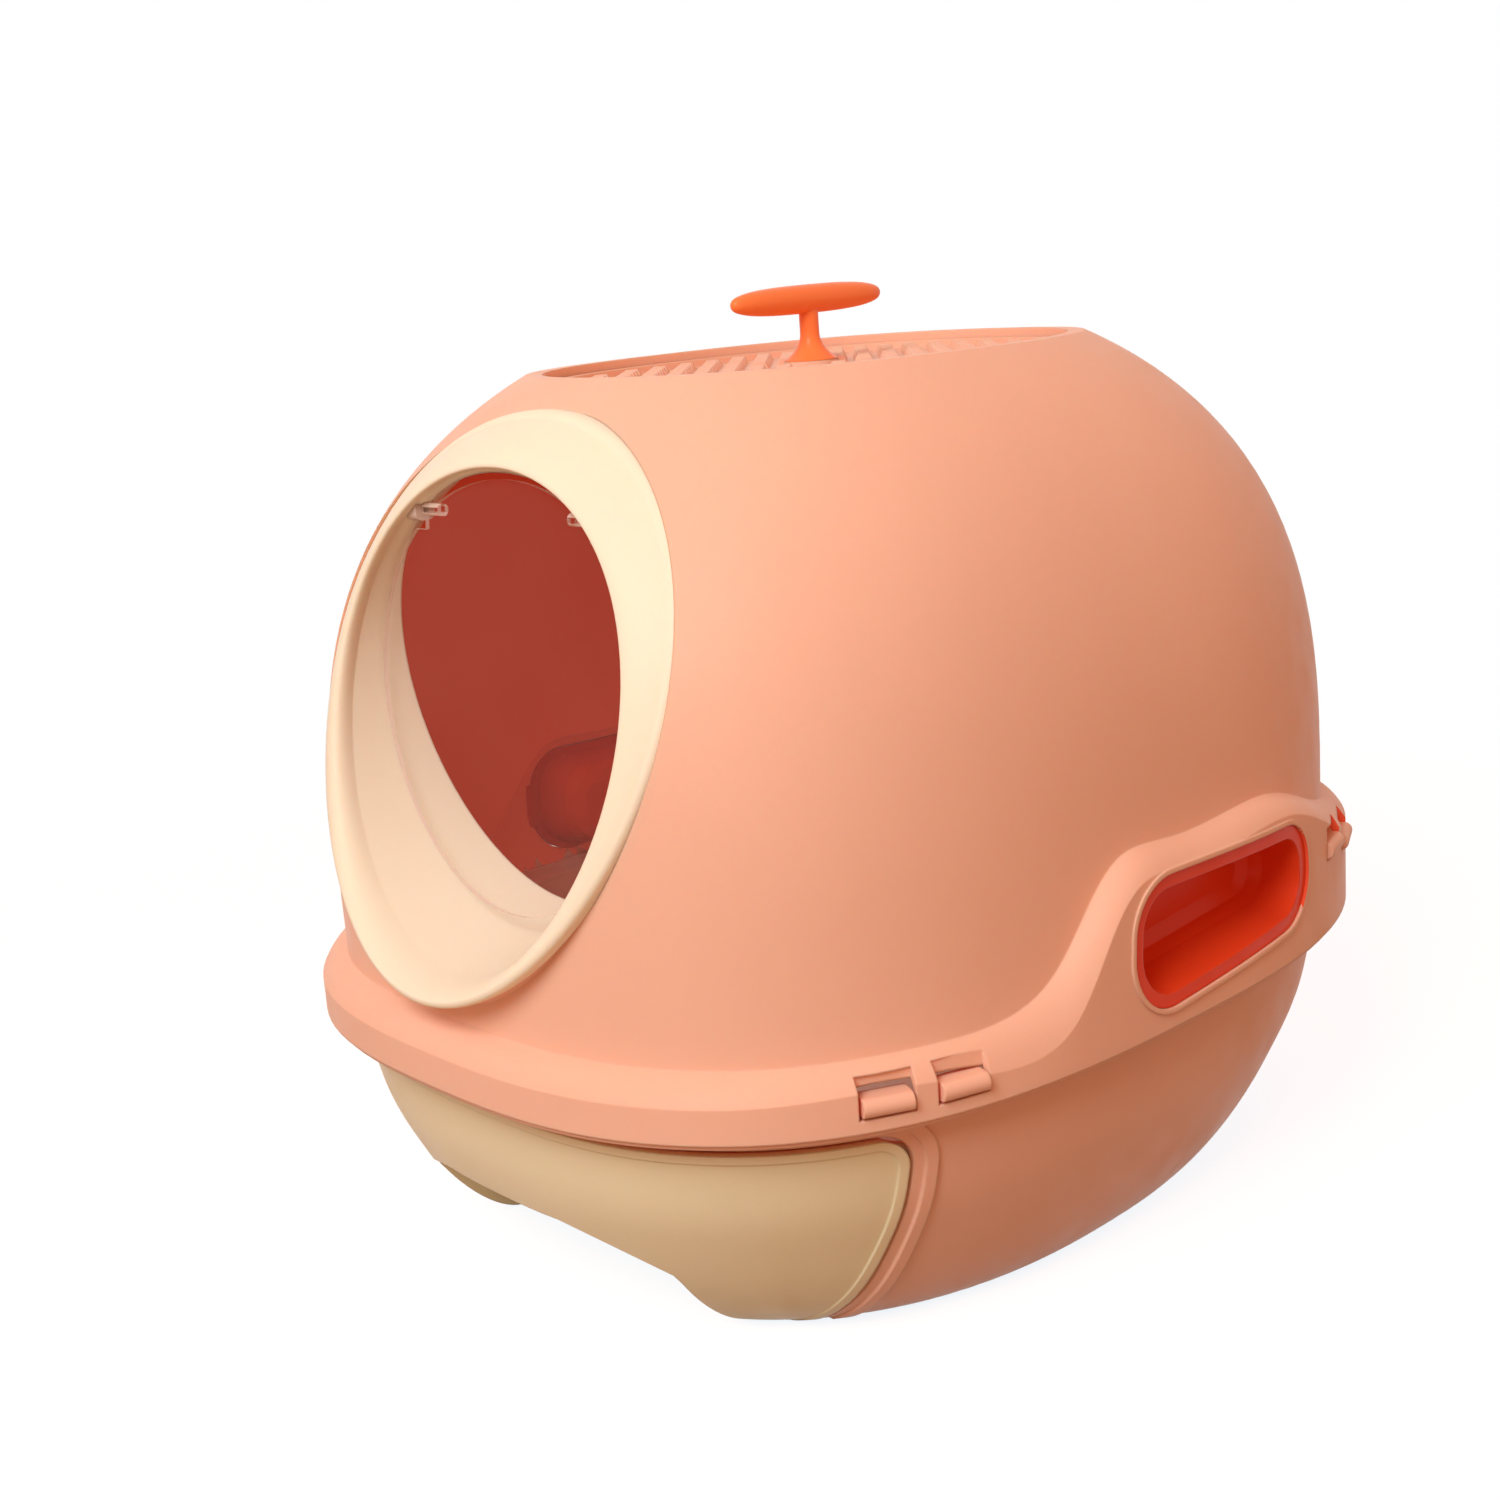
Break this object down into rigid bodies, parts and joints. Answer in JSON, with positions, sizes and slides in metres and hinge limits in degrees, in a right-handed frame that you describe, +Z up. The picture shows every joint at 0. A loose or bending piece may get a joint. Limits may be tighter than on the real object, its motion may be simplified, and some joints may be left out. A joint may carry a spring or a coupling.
{
  "type": "covered litter box",
  "caption": "Covered pet litter box: round tub with a pull-out litter drawer, domed hood with a ring door and swinging flap, finger cups, and a lift-off top lid with a T handle.",
  "frame": {"origin": "middle of the flat bottom, on the floor", "axes": "+Z up; the door and the drawer face -Y; +X is to the right of someone who stands in front and looks at the door"},
  "size_m": [0.424, 0.5123, 0.4399],
  "materials": {
    "tub": "fine satin moulded plastic, peach",
    "hood": "fine satin moulded plastic, peach",
    "lid": "fine satin moulded plastic, peach",
    "tray": "satin moulded plastic, cream",
    "drawer_front": "satin moulded plastic, cream",
    "ring": "satin moulded plastic, cream",
    "cups": "soft gloss moulded plastic, deep orange",
    "lid_handle": "soft gloss moulded plastic, deep orange",
    "flap": "clear plastic sheet, very slightly frosted",
    "brackets": "clear moulded plastic",
    "screws": "zinc plated steel",
    "washer": "grey nylon"
  },
  "bodies": {
    "tub": {"base_tub": "tub", "snap_tongues": "tub"},
    "drawer": {"litter_tray": "tray", "drawer_front": "drawer_front"},
    "hood": {"hood": "hood", "entrance_ring": "ring", "ring_screws": "screws", "flap_bracket_left": "brackets", "flap_bracket_right": "brackets", "handle_cup_left": "cups", "handle_cup_right": "cups"},
    "flap": {"flap": "flap"},
    "lid": {"top_lid": "lid", "lid_handle": "lid_handle", "lid_screw": "screws", "lid_washer": "washer"}
  },
  "joints": [
    {"name": "drawer_slide", "type": "slide", "parent": "tub", "child": "drawer", "axis": [0, -1, 0], "range_m": [0, 0.26]},
    {"name": "hood_lift", "type": "slide", "parent": "tub", "child": "hood", "axis": [0, 0, 1], "range_m": [0, 0.15], "deforming": ["snap_tongues"]},
    {"name": "flap_swing", "type": "hinge", "parent": "hood", "child": "flap", "pos_m": [0, -0.1862, 0.357], "axis": [1, 0, 0], "range_deg": [-45, 60]},
    {"name": "lid_lift", "type": "slide", "parent": "hood", "child": "lid", "axis": [0, 0, 1], "range_m": [0, 0.1]}
  ]
}
